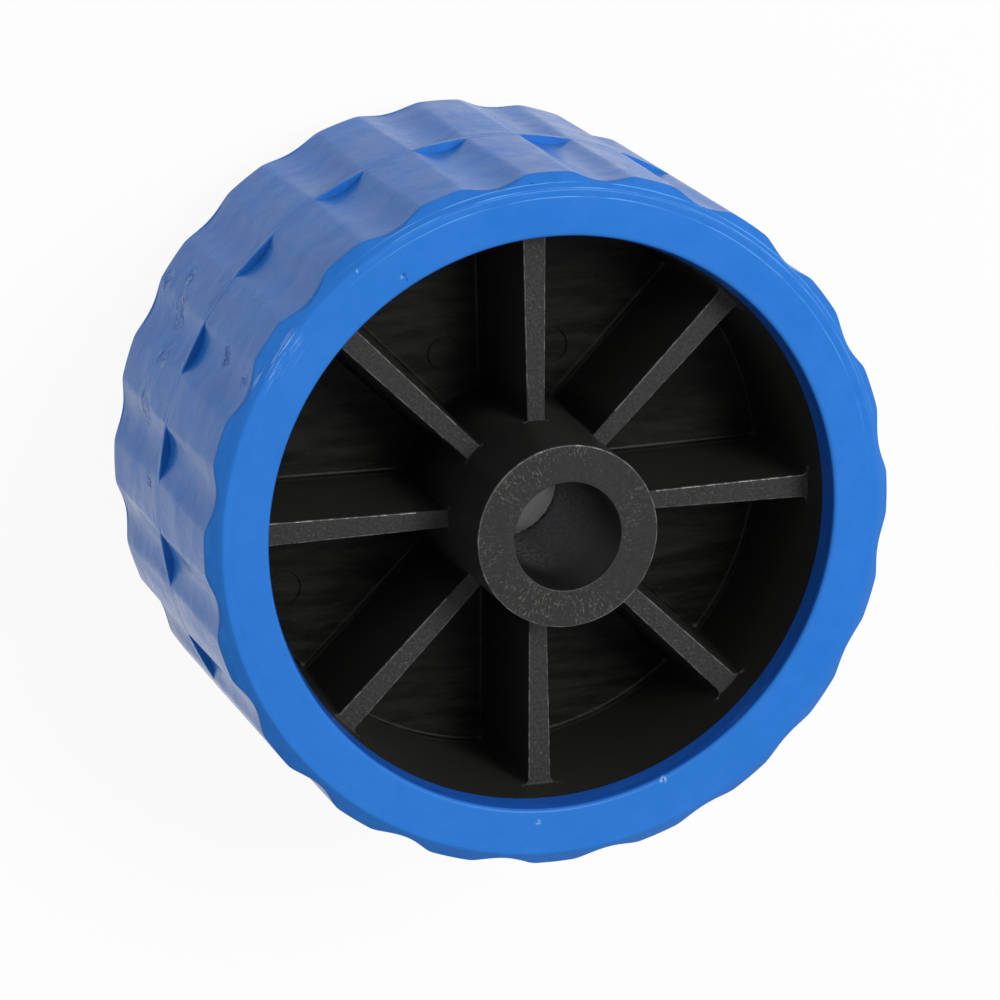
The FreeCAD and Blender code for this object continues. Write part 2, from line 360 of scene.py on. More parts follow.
class Half:
    """One half of a pocket between two ribs, from the sector's middle line to the rib's side.

    The points run from the wall's middle, round the corner, in along the rib and round to the boss.
    """

    WALL_STEPS = 14
    CORNER_STEPS = 8
    RIB_STEPS = 6
    BOSS_STEPS = 5

    def __init__(self, rib, wall, boss, wall_corner, boss_corner):
        along = polar(1, HALF_SECTOR - RIB_SPREAD)
        inward = Vector((along.y, -along.x))
        centres = []
        for reach, corner in ((wall - wall_corner, wall_corner), (boss + boss_corner, boss_corner)):
            rise = rib + corner
            centres.append(inward * rise + along * math.sqrt(reach ** 2 - rise ** 2))
        outer, inner = centres
        outer_angle = math.atan2(outer.y, outer.x)
        inner_angle = math.atan2(inner.y, inner.x)
        towards_rib = math.atan2(-inward.y, -inward.x)
        axis = Vector((0, 0))
        wall_arc = arc(axis, wall, 0, outer_angle, self.WALL_STEPS)
        outer_corner = arc(outer, wall_corner, outer_angle, towards_rib, self.CORNER_STEPS)
        inner_corner = arc(inner, boss_corner, towards_rib, inner_angle + math.pi, self.CORNER_STEPS)
        boss_arc = arc(axis, boss, inner_angle, 0, self.BOSS_STEPS)
        shares = spread(0, 1, self.RIB_STEPS)[1:-1]
        straight = [outer_corner[-1].lerp(inner_corner[0], share) for share in shares]
        self.wall = wall
        self.boss = boss
        self.side = outer_corner + straight + inner_corner
        self.points = wall_arc[:-1] + self.side + boss_arc[1:]
        self.side_normals = [(point - outer).normalized() for point in outer_corner]
        self.side_normals += [-inward] * len(straight)
        self.side_normals += [(point - inner).normalized() for point in inner_corner]
        self.wall_end = RibEnd(wall_arc, wall, outer, wall_corner, rib_side=-1, largest=WALL_FILLET)
        self.boss_end = RibEnd(boss_arc[::-1], boss, inner, boss_corner, rib_side=1, largest=BOSS_FILLET)

    def loop(self):
        """The whole pocket's outline."""
        mirrored = [Vector((point.x, -point.y)) for point in self.points]
        return self.points + mirrored[-2:0:-1]

    def side_wear(self):
        """1 where the rib's edge is worn, at each point of its side, and 0 in the corner by the boss."""
        unworn = self.CORNER_STEPS + 1
        return [1] * (len(self.side) - unworn) + [0] * unworn

    def loop_marks(self):
        """For each point of the outline, whether it's on a rib's side and whether the rib is worn there."""
        half = [(0, 0)] * self.WALL_STEPS
        half += [(1, worn) for worn in self.side_wear()]
        half += [(0, 0)] * self.BOSS_STEPS
        return half + half[-2:0:-1]

    def band(self):
        """Points of the rib's top, a little way in from its edge."""
        points = []
        for point, normal in zip(self.side, self.side_normals):
            room = min(self.wall - point.length, point.length - self.boss)
            points.append(point + normal * min(TOP_BAND, BAND_SHARE * max(room, 0)))
        return points


class HubMesh:
    """The hub's mesh as it grows, with how worn each point's edge is and whether it's on an end face."""

    def __init__(self):
        self.bm = bmesh.new()
        self.edge = self.bm.verts.layers.float.new("edge")
        self.top = self.bm.verts.layers.float.new("top")

    def row(self, points, place, edge=0.0, top=0.0):
        """New points, each given as x, y and a height above the middle plane, put in their place."""
        made = []
        for point in points:
            vert = self.bm.verts.new(place @ Vector(point))
            vert[self.edge] = edge
            vert[self.top] = top
            made.append(vert)
        return made

    def strip(self, first, second, closed=True):
        """Faces between two rows. A closed strip also joins the rows' ends."""
        count = len(first)
        for i in range(count if closed else count - 1):
            k = (i + 1) % count
            self.bm.faces.new((first[i], first[k], second[k], second[i]))

    def stack(self, rows, closed=True):
        """A strip between each row and the next."""
        for first, second in zip(rows, rows[1:]):
            self.strip(first, second, closed)

    def cap(self, verts):
        self.bm.faces.new(verts)

    def fill(self, loops):
        """A flat face with holes, as triangles."""
        edges = []
        for loop in loops:
            for i, vert in enumerate(loop):
                following = loop[(i + 1) % len(loop)]
                edge = self.bm.edges.get((vert, following)) or self.bm.edges.new((vert, following))
                edges.append(edge)
        bmesh.ops.triangle_fill(self.bm, edges=edges, use_beauty=True)


# One outline of a pocket, and one circle of what is round. Edge and top are what HubMesh keeps of a point.
PocketRow = namedtuple("PocketRow", "half height edge top")
Ring = namedtuple("Ring", "radius height edge top", defaults=(0.0, 0.0))


def at_height(points, height):
    return [(point.x, point.y, height) for point in points]


def place_of(sector, side):
    """Where a sector's own X axis goes, and which side of the middle plane is built."""
    turn = Matrix.Rotation((2 * sector + 1) * HALF_SECTOR, 4, "Z")
    flip = Matrix.Diagonal((1, 1, side, 1))
    return Matrix.Translation((0, 0, MIDDLE)) @ turn @ flip


def pocket_sides():
    """Down a pocket's drafted side and its root fillet: how far below the ribs' tops, and how far in."""
    slant = math.atan(DRAFT)
    fillet_centre = RIB_TOP - WEB_FACE - ROOT_FILLET
    touch = fillet_centre + ROOT_FILLET * math.sin(slant)
    start = touch * DRAFT + ROOT_FILLET * math.cos(slant)
    sides = [(fall, fall * DRAFT) for fall in spread(2 * EDGE_ROUND, touch, SIDE_STEPS)]
    for angle in spread(slant, math.pi / 2, ROOT_STEPS)[1:]:
        fall = fillet_centre + ROOT_FILLET * math.sin(angle)
        sides.append((fall, start - ROOT_FILLET * math.cos(angle)))
    return sides


def pocket_rows():
    """A pocket's rows from the mouth, over its rounded edge and down to the web."""
    rows = []
    top_shares = (1, 1, 1, 0.5, 0)
    for angle, top in zip(spread(0, math.pi / 2, EDGE_STEPS), top_shares):
        back = EDGE_ROUND * (1 - math.sin(angle))
        drop = EDGE_ROUND * (1 - math.cos(angle))
        half = Half(HALF_RIB - back, WALL_AT_RIBS, BOSS, WALL_CORNER + back, BOSS_CORNER + back)
        rows.append(PocketRow(half, RIB_TOP - drop, 1, top))
    for fall, inset in pocket_sides():
        half = Half(HALF_RIB + inset, WALL_AT_RIBS - inset, BOSS + inset, WALL_CORNER, BOSS_CORNER)
        rows.append(PocketRow(half, RIB_TOP - fall, 0, 0))
    return rows


def make_rib_top(hub, place, half, mirror):
    """One half of a rib's top, on one side of a pocket."""
    def sided(points):
        return [(x, y * mirror, z) for x, y, z in points]

    outline = hub.row(sided(at_height(half.side, RIB_TOP)), place, top=1.0)
    for vert, worn in zip(outline, half.side_wear()):
        vert[hub.edge] = worn
    inside = hub.row(sided(at_height(half.band(), RIB_TOP)), place, top=1.0)
    hub.strip(outline, inside, closed=False)
    top_shares = (0, 1, 1, 1)
    end_rows = []
    for end in (half.wall_end, half.boss_end):
        rows = [hub.row(sided(row), place, top=top) for row, top in zip(end.rows(), top_shares)]
        hub.stack(rows, closed=False)
        end_rows.append(rows[-1])
    wall_row, boss_row = end_rows
    hub.cap(inside[1:-1] + boss_row + wall_row[::-1])


def make_pocket_floor(hub, place, row, mark):
    """A pocket's floor, with the ring that an ejector pin left where there is one."""
    if mark is None:
        hub.cap(row)
        return
    rings = []
    for share, depth in PIN_GROOVE:
        circle = arc(Vector((mark, 0)), PIN_MARK * share, 0, math.tau, PIN_STEPS)[:-1]
        rings.append(hub.row(at_height(circle, WEB_FACE - depth * MM), place))
    hub.fill([row, rings[0]])
    hub.stack(rings)
    hub.cap(rings[-1])


def make_pocket(hub, sector, side, rows):
    """A pocket from its mouth to the web, with the halves of the ribs' tops on both sides of it."""
    place = place_of(sector, side)
    made = []
    for row in rows:
        made.append(hub.row(at_height(row.half.loop(), row.height), place))
        for vert, (on_side, worn) in zip(made[-1], row.half.loop_marks()):
            vert[hub.edge] = row.edge * worn
            vert[hub.top] = row.top * on_side
    hub.stack(made)
    mark = PIN_MARKS.get(sector) if side == UPPER else None
    make_pocket_floor(hub, place, made[-1], mark)
    for mirror in (1, -1):
        make_rib_top(hub, place, rows[0].half, mirror)


def rim_rings():
    """Up the wall above the ribs, over the rim's end and down its outside to the middle plane."""
    wall = Ring(WALL_AT_RIBS + WALL_RISE * DRAFT, RIB_TOP + WALL_RISE)
    return [wall, Ring(MOUTH, RIM_END), Ring(RIM, RIM_END), Ring(RIM, 0)]


def boss_rings(bore, bore_foot):
    """Up the boss, over its end and down the bore to its foot, where the two core pins left flash."""
    rings = [Ring(BOSS, RIB_TOP + BOSS_RISE), Ring(BOSS, BOSS_END - 2 * EDGE_ROUND)]
    for angle in spread(0, math.pi / 2, EDGE_STEPS):
        radius = BOSS - EDGE_ROUND * (1 - math.cos(angle))
        rings.append(Ring(radius, BOSS_END - EDGE_ROUND * (1 - math.sin(angle)), edge=1.0, top=0.5))
    rings.append(Ring(BOSS - 2 * EDGE_ROUND, BOSS_END, top=1.0))
    rings.append(Ring(bore + 2 * EDGE_ROUND, BOSS_END, top=1.0))
    for angle in spread(math.pi / 2, 0, BORE_ROUND_STEPS):
        radius = bore + BORE_ROUND * (1 - math.cos(angle))
        rings.append(Ring(radius, BOSS_END - BORE_ROUND * (1 - math.sin(angle)), edge=1.0, top=0.5))
    rings.append(Ring(bore, BOSS_END - BORE_DROP))
    if bore == NEAR_BORE:
        rings.append(Ring(bore, bore_foot))
    else:
        rings.append(Ring(bore, bore_foot + FLASH_TAPER))
        rings.append(Ring(NEAR_BORE - BORE_FLASH, bore_foot + FLASH_HEIGHT))
    rings.append(Ring(NEAR_BORE - BORE_FLASH, bore_foot))
    return rings


def make_turned(hub, place, end, rings):
    """One sector of what is round, from the pocket's mouth and the ribs' fillets on through the rings."""
    angles = end.angles()
    rows = [hub.row([end.foot(angle) for angle in angles], place)]
    for ring in rings:
        circle = [(*polar(ring.radius, angle), ring.height) for angle in angles]
        rows.append(hub.row(circle, place, ring.edge, ring.top))
    hub.stack(rows, closed=False)


def make_hub():
    """For each side of the middle plane, the pockets with the ribs' tops and then what is round."""
    hub = HubMesh()
    rows = pocket_rows()
    half = rows[0].half
    for side, bore in ((UPPER, NEAR_BORE), (LOWER, FAR_BORE)):
        for sector in range(RIB_COUNT):
            make_pocket(hub, sector, side, rows)
        bore_foot = side * (BOSS_END - BORE_STEP)
        for sector in range(RIB_COUNT):
            make_turned(hub, place_of(sector, side), half.wall_end, rim_rings())
            make_turned(hub, place_of(sector, side), half.boss_end, boss_rings(bore, bore_foot))
    return finish_mesh(hub.bm, "hub_moulding", HUB_CREASE)


# Node trees


class Nodes:
    """A node tree, with short ways to add the nodes that it needs."""

    def __init__(self, tree):
        self.tree = tree

    def add(self, kind, **settings):
        node = self.tree.nodes.new(kind)
        for key, value in settings.items():
            setattr(node, key, value)
        return node

    def link(self, source, target):
        """Joins one socket to another, or sets a value."""
        if isinstance(source, bpy.types.NodeSocket):
            self.tree.links.new(source, target)
        else:
            target.default_value = source

    def link_all(self, sources, node):
        """Joins or sets a node's inputs in their order, and gives its output."""
        for source, socket in zip(sources, node.inputs):
            self.link(source, socket)
        return node.outputs[0]

    def math(self, operation, *values):
        return self.link_all(values, self.add("ShaderNodeMath", operation=operation))

    def chain(self, operation, values):
        total = values[0]
        for value in values[1:]:
            total = self.math(operation, total, value)
        return total

    def product(self, *values):
        return self.chain("MULTIPLY", values)

    def most(self, *values):
        return self.chain("MAXIMUM", values)


class Surface(Nodes):
    """A material's node tree, with the patterns that the materials here are made of."""

    def __init__(self, name):
        self.material = bpy.data.materials.new(name)
        self.material.use_nodes = True
        super().__init__(self.material.node_tree)
        self.shader = self.tree.nodes["Principled BSDF"]
        self.place = self.add("ShaderNodeTexCoord").outputs["Object"]

    def noise(self, scale, detail=2.0, roughness=0.5, vector=None):
        """Noise. The scale is how many of its lumps go in a metre, or in a unit of the vector given."""
        node = self.add("ShaderNodeTexNoise")
        self.link(self.place if vector is None else vector, node.inputs["Vector"])
        node.inputs["Scale"].default_value = scale
        node.inputs["Detail"].default_value = detail
        node.inputs["Roughness"].default_value = roughness
        return node.outputs["Fac"]

    def drawn_noise(self, scales, detail, roughness):
        """Noise with a scale of its own along each axis."""
        node = self.add("ShaderNodeVectorMath", operation="MULTIPLY")
        return self.noise(1.0, detail, roughness, self.link_all((self.place, scales), node))

    def ramp(self, value, low, high, to_low=0.0, to_high=1.0, smooth=True):
        """Takes a value between low and high to one between the two others."""
        node = self.add("ShaderNodeMapRange", interpolation_type="SMOOTHSTEP" if smooth else "LINEAR")
        return self.link_all((value, low, high, to_low, to_high), node)

    def line_at(self, value, place, width):
        """1 where the value is at its place, falling to 0 at the width's edge."""
        away = self.math("ABSOLUTE", self.math("SUBTRACT", value, place))
        return self.ramp(away, 0, width, 1.0, 0.0)

    def spots(self, places):
        """1 at each point, falling to 0 at its reach. Points and reaches are in millimetres."""
        found = []
        for point, reach in places:
            node = self.add("ShaderNodeVectorMath", operation="DISTANCE")
            self.link(self.place, node.inputs[0])
            node.inputs[1].default_value = [value * MM for value in point]
            found.append(self.ramp(node.outputs["Value"], 0, reach * MM, 1.0, 0.0))
        return self.most(*found)

    def steepness(self):
        """0 where the surface is level, 1 where it's upright."""
        split = self.add("ShaderNodeSeparateXYZ")
        self.link(self.add("ShaderNodeNewGeometry").outputs["Normal"], split.inputs[0])
        return self.ramp(self.math("ABSOLUTE", split.outputs[2]), 0.3, 0.8, 1.0, 0.0)

    def attribute(self, name):
        """A value that the mesh keeps for each of its points."""
        return self.add("ShaderNodeAttribute", attribute_name=name).outputs["Fac"]

    def mix(self, share, first, second):
        """The first colour where the share is 0, and the second where it's 1."""
        node = self.add("ShaderNodeMix", data_type="RGBA")
        self.link(share, node.inputs["Factor"])
        self.link((*first, 1) if isinstance(first, tuple) else first, node.inputs["A"])
        self.link((*second, 1) if isinstance(second, tuple) else second, node.inputs["B"])
        return node.outputs["Result"]

    def bump(self, height, distance, normal=None):
        """Relief on top of an earlier relief, if there is one."""
        node = self.add("ShaderNodeBump")
        node.inputs["Distance"].default_value = distance
        self.link(height, node.inputs["Height"])
        if normal is not None:
            self.link(normal, node.inputs["Normal"])
        return node.outputs["Normal"]

    def finish(self, colour, specular, roughness, normal):
        """Gives the shader its values, and the material back."""
        self.link(colour, self.shader.inputs["Base Color"])
        self.shader.inputs["Specular IOR Level"].default_value = specular
        self.link(roughness, self.shader.inputs["Roughness"])
        self.link(normal, self.shader.inputs["Normal"])
        return self.material


class RoundSurface(Surface):
    """A surface with patterns that follow the axis: a radius, a direction as an X and a Y, and a height."""

    def __init__(self, name):
        super().__init__(name)
        split = self.add("ShaderNodeSeparateXYZ")
        self.link(self.place, split.inputs[0])
        x, y, self.z = split.outputs
        self.radius = self.math("SQRT", self.math("ADD", self.product(x, x), self.product(y, y)))
        self.x = self.math("DIVIDE", x, self.radius)
        self.y = self.math("DIVIDE", y, self.radius)

    def facing(self, x, y):
        """About 1 for places in this direction from the axis, and -1 for those on the other side of it."""
        return self.math("ADD", self.product(self.x, x), self.product(self.y, y))

    def ring_noise(self, along, round_scale, along_scale, detail, roughness):
        """Noise with one scale round the axis and another along a value, without a seam."""
        joined = self.add("ShaderNodeCombineXYZ")
        scaled = (
            self.product(self.x, round_scale),
            self.product(self.y, round_scale),
            self.product(along, along_scale),
        )
        return self.noise(1.0, detail, roughness, self.link_all(scaled, joined))


# The rubber

BLUE_DEEP = (0.015, 0.143, 0.505)
BLUE_BRIGHT = (0.026, 0.170, 0.577)
# Lighter cyan patches, painted as soft reflections.
BLUE_SHEEN_PATCH = (0.03, 0.25, 0.60)
# The lip's inner wall, painted darker as shade.
BLUE_LIP_SHADE = (0.012, 0.088, 0.41)
# Painted highlight along thin lines round the side face.
BLUE_HIGHLIGHT_LINE = (0.14, 0.40, 0.86)
# Pale scratches and specks. On the scratches the paleness is partly a painted glint.
BLUE_PALE_MARK_AND_GLINT = (0.45, 0.62, 0.88)
# Dark nicks and scuffs, and the painted shadow line beside the wall between the tracks.
BLUE_DARK_MARK_AND_SHADOW = (0.006, 0.080, 0.33)
RUBBER_SPECULAR = 0.09
DEEP_ROUGHNESS = 0.2
BRIGHT_ROUGHNESS = 0.3
SHOULDER_ROUGHNESS = 0.6
# What the dark marks and the painted shadow line add to the roughness.
MARK_ROUGHNESS = 0.2

# How strong each kind of mark is in the colour.
SHEEN_PATCH_STRENGTH = 0.45
PALE_STRENGTH = 0.7
NICK_STRENGTH = 0.6
SCUFF_STRENGTH = 0.3
# How strong the painted shadow line beside the wall is.
WALL_SHADOW_STRENGTH = 0.4

# How deep each kind of relief is where its pattern goes from 0 to 1.
WAVE_RELIEF = 0.6 * MM
FOLD_RELIEF = 1.2 * MM
DENT_RELIEF = 0.2 * MM
STREAK_RELIEF = 0.06 * MM
GRAIN_RELIEF = 0.008 * MM

# Marks on the rubber, as places in millimetres and how far they reach.
NICKS = [((-27.9, 48.9, 82.1), 0.6), ((-27.4, 48.0, 82.1), 0.35), ((-3.6, 63.5, 80.8), 0.35)]
PALE_SPECKS = [
    ((-28.5, 48.5, 82.1), 0.5), ((-36.4, 50.3, 82.1), 0.5),
    ((20.2, -50.4, 82.1), 1.1), ((-4.0, -56.0, 82.1), 0.8),
]
# Scratches along the face's edge, pale partly as painted glints.
SCRATCHES_AND_GLINTS = [((-53.6, 33.5, 81.5), 5.5), ((-50.4, 38.0, 81.5), 5.0)]
SCUFFED = [
    ((-54.7, 35.1, 13.7), 3.0), ((-52.9, 37.7, 24.7), 2.6), ((-56.4, 32.3, 27.3), 5.5),
    ((-59.8, 25.4, 30.7), 4.2), ((-63.3, 14.6, 28.6), 5.0), ((-56.7, 31.7, 62.3), 3.6),
    ((-57.2, 30.9, 75.8), 3.0), ((-64.9, 3.4, 38.6), 2.6),
]
# Lighter patches painted as soft reflections, on the tread and the face.
SHEEN_PATCHES = [
    ((-49.7, 41.9, 54.0), 5.0), ((-42.2, 49.5, 52.3), 4.5),
    ((48.2, -34.6, 82.1), 1.6), ((34.3, -43.6, 82.1), 1.6),
]

# Painted highlight lines on both sides of the flash and in the face's dip, and the direction where they are
# clearest.
HIGHLIGHT_LINES = (FLASH_LINE + 0.45 * MM, FLASH_LINE - 0.4 * MM, FACE_LINE)
HIGHLIGHT_LINE_WIDTH = 0.13 * MM
CLEAREST_TOWARDS = (0.34, 0.94)
# The painted shadow line along one side of the wall between the tracks.
WALL_SHADOW_WIDTH = 0.22 * MM


class Rubber(RoundSurface):
    """The tyre's rubber: clouded blue, with marks where the photo has them."""

    def __init__(self):
        super().__init__("blue_rubber")
        off_middle = self.math("ABSOLUTE", self.math("SUBTRACT", self.z, MIDDLE))
        self.on_face = self.ramp(off_middle, TYRE_FACE - 2 * MM, TYRE_FACE - 1 * MM)
        self.on_shoulder = self.product(
            self.ramp(self.radius, SHOULDER_EDGE - 0.3 * MM, SHOULDER_EDGE + 0.1 * MM),
            self.ramp(off_middle, SHOULDER_START - 0.2 * MM, SHOULDER_START + 0.2 * MM),
        )
        self.streaks = self.drawn_noise((240, 240, 90), detail=4, roughness=0.65)
        self.cloud = self.clouds()
        self.nicks = self.spots(NICKS)
        self.scuffed = self.ramp(self.spots(SCUFFED), 0.05, 0.6)
        self.wrinkles = self.drawn_noise((340, 340, 170), detail=4, roughness=0.6)
        self.scuffs = self.product(
            self.line_at(self.wrinkles, 0.5, 0.06),
            self.ramp(self.noise(330), 0.43, 0.52),
            self.scuffed,
        )
        self.dark = self.dark_marks_and_shadow_line()

    def clouds(self):
        """Broad clouds and the streaks together, a little brighter and more even on the side face."""
        broad = self.noise(45, detail=4, roughness=0.6)
        mean = self.product(self.math("ADD", broad, self.streaks), 0.5)
        low = self.ramp(self.on_face, 0, 1, 0.35, 0.05)
        high = self.ramp(self.on_face, 0, 1, 0.65, 0.85)
        return self.ramp(mean, low, high)

    def painted_highlight_lines(self):
        """Thin painted highlight lines round the face, broken in places."""
        lines = [self.line_at(self.radius, place, HIGHLIGHT_LINE_WIDTH) for place in HIGHLIGHT_LINES]
        breaks = self.ring_noise(self.radius, round_scale=7, along_scale=2600, detail=3, roughness=0.6)
        return self.product(
            self.most(*lines),
            self.on_face,
            self.ramp(breaks, 0.4, 0.6, 0.05, 0.9),
            self.ramp(self.facing(*CLEAREST_TOWARDS), 0.35, 0.95),
        )

    def pale_marks_and_glints(self):
        """Scratches along the face's edge, pale partly from wear and partly as painted glints, and pale
        specks.
        """
        strokes = self.ring_noise(self.radius, round_scale=7, along_scale=5200, detail=3, roughness=0.6)
        scratches = self.product(self.ramp(strokes, 0.565, 0.62), self.on_face, self.spots(SCRATCHES_AND_GLINTS))
        uneven = self.ramp(self.noise(1300, detail=3, roughness=0.6), 0.42, 0.54)
        specks = self.product(self.spots(PALE_SPECKS), uneven)
        return self.product(self.most(scratches, specks), PALE_STRENGTH)

    def dark_marks_and_shadow_line(self):
        """Nicks, the scuffs' lines and a painted shadow line along one side of the wall between the tracks.
        """
        wall_shadow = self.product(
            self.line_at(self.z, MIDDLE - WALL_SIDE, WALL_SHADOW_WIDTH),
            self.ramp(self.radius, TREAD - 0.35 * MM, TREAD - 0.15 * MM),
        )
        return self.most(
            self.product(self.nicks, NICK_STRENGTH),
            self.product(self.scuffs, SCUFF_STRENGTH),
            self.product(wall_shadow, WALL_SHADOW_STRENGTH),
        )

    def colour(self):
        # Lighter patches painted as soft reflections.
        sheen_patches = self.product(self.spots(SHEEN_PATCHES), self.ramp(self.streaks, 0.42, 0.6), SHEEN_PATCH_STRENGTH)
        # Painted shade on the lip's inner wall, inside the opening.
        lip = self.ramp(self.radius, OPENING + 0.3 * MM, OPENING + 0.03 * MM)
        colour = self.mix(self.cloud, BLUE_DEEP, BLUE_BRIGHT)
        colour = self.mix(sheen_patches, colour, BLUE_SHEEN_PATCH)
        colour = self.mix(lip, colour, BLUE_LIP_SHADE)
        # Painted highlight lines round the face.
        colour = self.mix(self.painted_highlight_lines(), colour, BLUE_HIGHLIGHT_LINE)
        colour = self.mix(self.pale_marks_and_glints(), colour, BLUE_PALE_MARK_AND_GLINT)
        # Nicks and scuffs, and the painted shadow line beside the wall.
        return self.mix(self.dark, colour, BLUE_DARK_MARK_AND_SHADOW)

    def roughness(self):
        """Duller on the shoulder, in the dark marks and along the painted shadow line."""
        clouded = self.ramp(self.cloud, 0, 1, DEEP_ROUGHNESS, BRIGHT_ROUGHNESS)
        dull = self.most(clouded, self.product(self.on_shoulder, SHOULDER_ROUGHNESS))
        return self.math("ADD", dull, self.product(self.dark, MARK_ROUGHNESS))

    def relief(self):
        """Broad waves, folds where it's scuffed, dents, streaks and a fine grain, one on the other."""
        waves = self.math("SUBTRACT", self.noise(55, detail=3, roughness=0.55), 0.5)
        waves = self.product(waves, self.ramp(self.on_face, 0, 1, 1.0, 0.1))
        folds = self.product(self.math("SUBTRACT", self.wrinkles, 0.5), self.scuffed)
        dents = self.math("SUBTRACT", 1.0, self.most(self.nicks, self.scuffs))
        grain = self.noise(2200, detail=3, roughness=0.6)
        normal = self.bump(waves, WAVE_RELIEF)
        normal = self.bump(folds, FOLD_RELIEF, normal)
        normal = self.bump(dents, DENT_RELIEF, normal)
        normal = self.bump(self.streaks, STREAK_RELIEF, normal)
        return self.bump(grain, GRAIN_RELIEF, normal)


def rubber_material():
    rubber = Rubber()
    return rubber.finish(rubber.colour(), RUBBER_SPECULAR, rubber.roughness(), rubber.relief())


# The plastic

BODY_BLACK = (0.0034, 0.0034, 0.0029)
BODY_FLOW = (0.0118, 0.0118, 0.0105)
BODY_RUBBED = (0.019, 0.019, 0.0175)
# Upright sides are painted lighter, for the light that they catch.
BODY_SIDES_PAINTED_LIGHT = (0.023, 0.023, 0.0213)
# Painted shade in the pockets round the boss.
BODY_BOSS_SHADE = (0.0025, 0.0025, 0.0023)
END_DARK = (0.024, 0.024, 0.0235)
END_RIBS = (0.042, 0.042, 0.0415)
END_BOSS = (0.030, 0.030, 0.0295)
END_FLECKS = (0.15, 0.15, 0.145)
BODY_SPECULAR = 0.06
BODY_ROUGHNESS = 0.34
END_ROUGHNESS = 0.5
BY_BOSS_ROUGHNESS = 0.65
RUBBED_STRENGTH = 0.45
# How strong the painted shade round the boss is.
BOSS_SHADE_STRENGTH = 0.75
FLECK_STRENGTH = 0.7
BODY_RELIEF = 0.05 * MM

EDGE_DARK = (0.018, 0.018, 0.0175)
# Rubbed edges, painted bright partly as glints.
EDGE_RUBBED_GLINT = (0.095, 0.095, 0.092)
EDGE_SPECULAR = 0.45
EDGE_ROUGHNESS = 0.5
RUBBED_ROUGHNESS = 0.24
EDGE_RELIEF = 0.03 * MM

BORE_DARK = (0.004, 0.004, 0.0038)
BORE_LIGHT = (0.009, 0.009, 0.0087)
# Painted light near the bore's step, for the light that comes through its far end, with rubbed streaks in
# it.
BORE_PAINTED_LIGHT = (0.62, 0.6, 0.62)
BORE_SPECULAR = 0.42
NEAR_ROUGHNESS = 0.46
FAR_ROUGHNESS = 0.26
BORE_RELIEF = 0.02 * MM

# The painted light patch in the bore, with rubbed streaks in it: how far it reaches up from the flash, on
# which side it is, how strong it is in the colour, and what it adds to the roughness.
LIGHT_PATCH_REACH = 30 * MM
LIGHT_PATCH_TOWARDS = (0.73, -0.68)
LIGHT_PATCH_STRENGTH = 0.9
LIGHT_PATCH_ROUGHNESS = 0.1


class Plastic(RoundSurface):
    """The hub's plastic: dull black inside the pockets, and greyer with light flecks on the end faces."""

    def __init__(self):
        super().__init__("black_plastic")
        self.top = self.attribute("top")
        self.on_boss = self.ramp(self.radius, BOSS + 0.3 * MM, BOSS)
        # Painted shade in the pockets round the boss, from just outside it to a few millimetres out.
        self.boss_shade = self.math(
            "SUBTRACT",
            self.ramp(self.radius, BOSS + 0.4 * MM, BOSS + 0.9 * MM),
            self.ramp(self.radius, BOSS + 2.2 * MM, BOSS + 7 * MM),
        )
        self.flecks = self.end_face_flecks()

    def end_face_flecks(self):
        """Light flecks in patches, and on the boss also short strokes along the radius."""
        strokes = self.ring_noise(self.radius, round_scale=50, along_scale=800, detail=3, roughness=0.65)
        strokes = self.product(self.ramp(strokes, 0.56, 0.68), self.on_boss)
        flecks = self.ramp(self.noise(1900, detail=3, roughness=0.65), 0.58, 0.7)
        patches = self.ramp(self.noise(75, detail=3, roughness=0.6), 0.42, 0.62, 0.15, 1.0)
        return self.product(self.most(flecks, strokes), patches)

    def body_colour(self):
        """Black with flow marks, painted lighter on upright sides for the light they catch, and painted
        shade round the boss.
        """
        flow = self.drawn_noise((70, 420, 200), detail=4, roughness=0.6)
        rubbed = self.drawn_noise((260, 1300, 300), detail=4, roughness=0.7)
        colour = self.mix(self.ramp(flow, 0.35, 0.7), BODY_BLACK, BODY_FLOW)
        rubbed = self.product(self.ramp(rubbed, 0.58, 0.7), RUBBED_STRENGTH)
        colour = self.mix(rubbed, colour, BODY_RUBBED)
        # Upright sides painted lighter, for the light that they catch.
        colour = self.mix(self.steepness(), colour, BODY_SIDES_PAINTED_LIGHT)
        # Painted shade round the boss.
        return self.mix(self.product(self.boss_shade, BOSS_SHADE_STRENGTH), colour, BODY_BOSS_SHADE)

    def end_colour(self):
        """The grey of the ribs' tops and the boss's ends, with their flecks."""
        mottled = self.ramp(self.noise(1800, detail=4, roughness=0.6), 0.3, 0.7)
        colour = self.mix(mottled, END_DARK, self.mix(self.on_boss, END_RIBS, END_BOSS))
        return self.mix(self.product(self.flecks, FLECK_STRENGTH), colour, END_FLECKS)

    def roughness(self):
        """Duller on the end faces, and dullest round the boss."""
        ends = self.ramp(self.top, 0, 1, BODY_ROUGHNESS, END_ROUGHNESS, smooth=False)
        return self.most(ends, self.ramp(self.boss_shade, 0, 1, 0, BY_BOSS_ROUGHNESS))

    def relief(self):
        grain = self.product(self.noise(900, detail=5, roughness=0.65), 0.5)
        return self.bump(self.math("ADD", grain, self.product(self.flecks, 0.6)), BODY_RELIEF)


def plastic_material():
    plastic = Plastic()
    colour = plastic.mix(plastic.ramp(plastic.top, 0.45, 0.55), plastic.body_colour(), plastic.end_colour())
    return plastic.finish(colour, BODY_SPECULAR, plastic.roughness(), plastic.relief())


